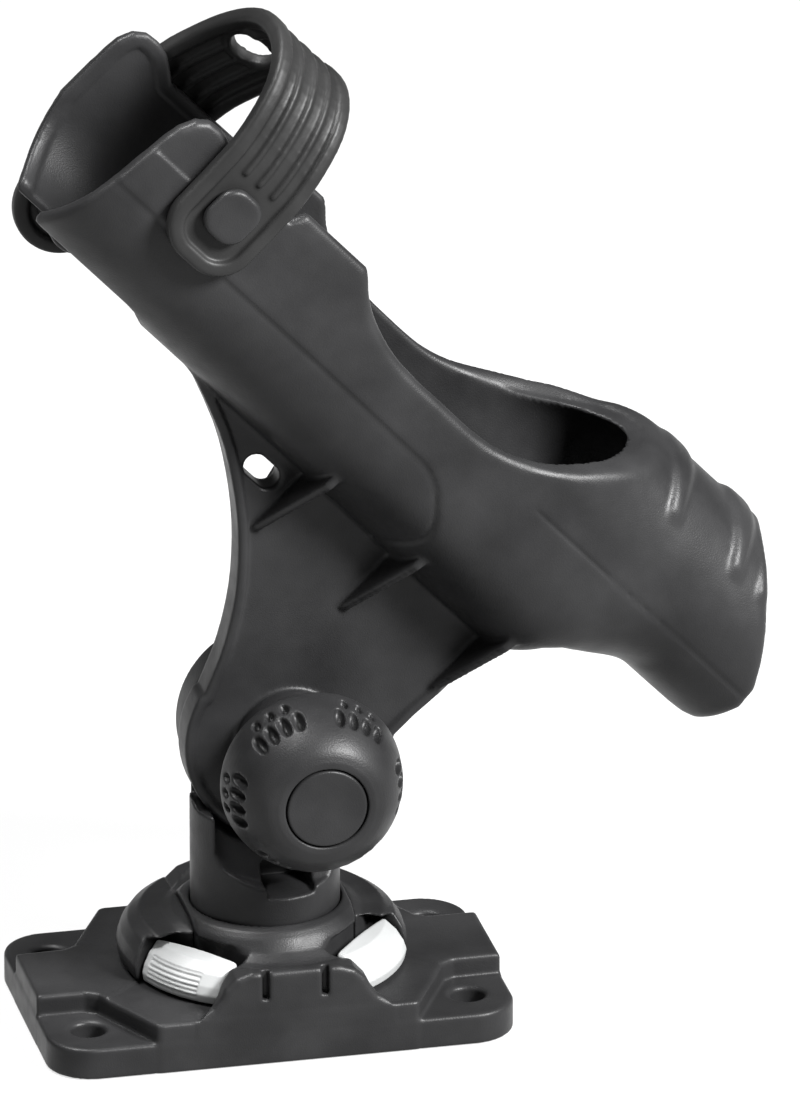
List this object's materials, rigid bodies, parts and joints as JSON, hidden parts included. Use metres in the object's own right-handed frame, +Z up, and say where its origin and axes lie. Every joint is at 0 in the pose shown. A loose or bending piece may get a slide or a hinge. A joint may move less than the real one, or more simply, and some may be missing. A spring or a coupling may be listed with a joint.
{
  "type": "rod holder",
  "caption": "Open cradle rod holder with rubber strap, tilting on a knob-clamped toothed pivot over a swivelling quick-release post and a screw-down base.",
  "frame": {"origin": "on the base's underside, where it meets the deck, under the axis of the post", "axes": "+Z up off the deck, +X towards the nose of the holder (the rod's butt end), -Y towards the clamp knob"},
  "size_m": [0.1966, 0.0876, 0.2771],
  "materials": {
    "black_nylon": "fine moulded texture, slight sheen",
    "grey_nylon": "smooth moulded, satin",
    "black_rubber": "smooth moulded rubber",
    "stainless_steel": "plain stainless",
    "brass": "machined insert"
  },
  "bodies": {
    "base": {"base_plate": "black_nylon", "base_cover": "black_nylon", "cover_screw_1": "stainless_steel", "cover_screw_2": "stainless_steel", "cover_screw_3": "stainless_steel", "cover_screw_4": "stainless_steel", "side_cover_left": "black_nylon", "side_cover_right": "black_nylon", "button_spring_left": "stainless_steel", "button_spring_right": "stainless_steel"},
    "swivel": {"swivel_socket": "black_nylon"},
    "post": {"post": "black_nylon", "post_seal": "black_rubber", "pivot_bolt": "stainless_steel", "bolt_washer": "stainless_steel", "separating_spring": "stainless_steel"},
    "holder": {"rod_holder_body": "black_nylon", "strap": "black_rubber"},
    "knob": {"knob": "black_nylon", "knob_cap": "black_nylon", "knob_nut": "brass", "knob_washer": "stainless_steel"},
    "button_left": {"release_button_left": "grey_nylon"},
    "button_right": {"release_button_right": "grey_nylon"}
  },
  "joints": [
    {"name": "post_swivel", "type": "hinge", "parent": "base", "child": "swivel", "pos_m": [0, 0, 0.014], "axis": [0, 0, 1], "continuous": true},
    {"name": "post_lift", "type": "slide", "parent": "swivel", "child": "post", "axis": [0, 0, 1], "range_m": [0, 0.03]},
    {"name": "holder_tilt", "type": "hinge", "parent": "post", "child": "holder", "pos_m": [0.0057, 0, 0.075], "axis": [0, -1, 0], "range_deg": [-25, 60]},
    {"name": "knob_turn", "type": "hinge", "parent": "post", "child": "knob", "pos_m": [0.0057, -0.03, 0.075], "axis": [0, -1, 0], "continuous": true},
    {"name": "button_left_press", "type": "slide", "parent": "base", "child": "button_left", "axis": [0.766, 0.6428, 0], "range_m": [0, 0.003], "stiffness_N_per_m": 600, "springref_m": -0.001, "deforming": ["button_spring_left"]},
    {"name": "button_right_press", "type": "slide", "parent": "base", "child": "button_right", "axis": [-0.766, 0.6428, 0], "range_m": [0, 0.003], "stiffness_N_per_m": 600, "springref_m": -0.001, "deforming": ["button_spring_right"]}
  ]
}
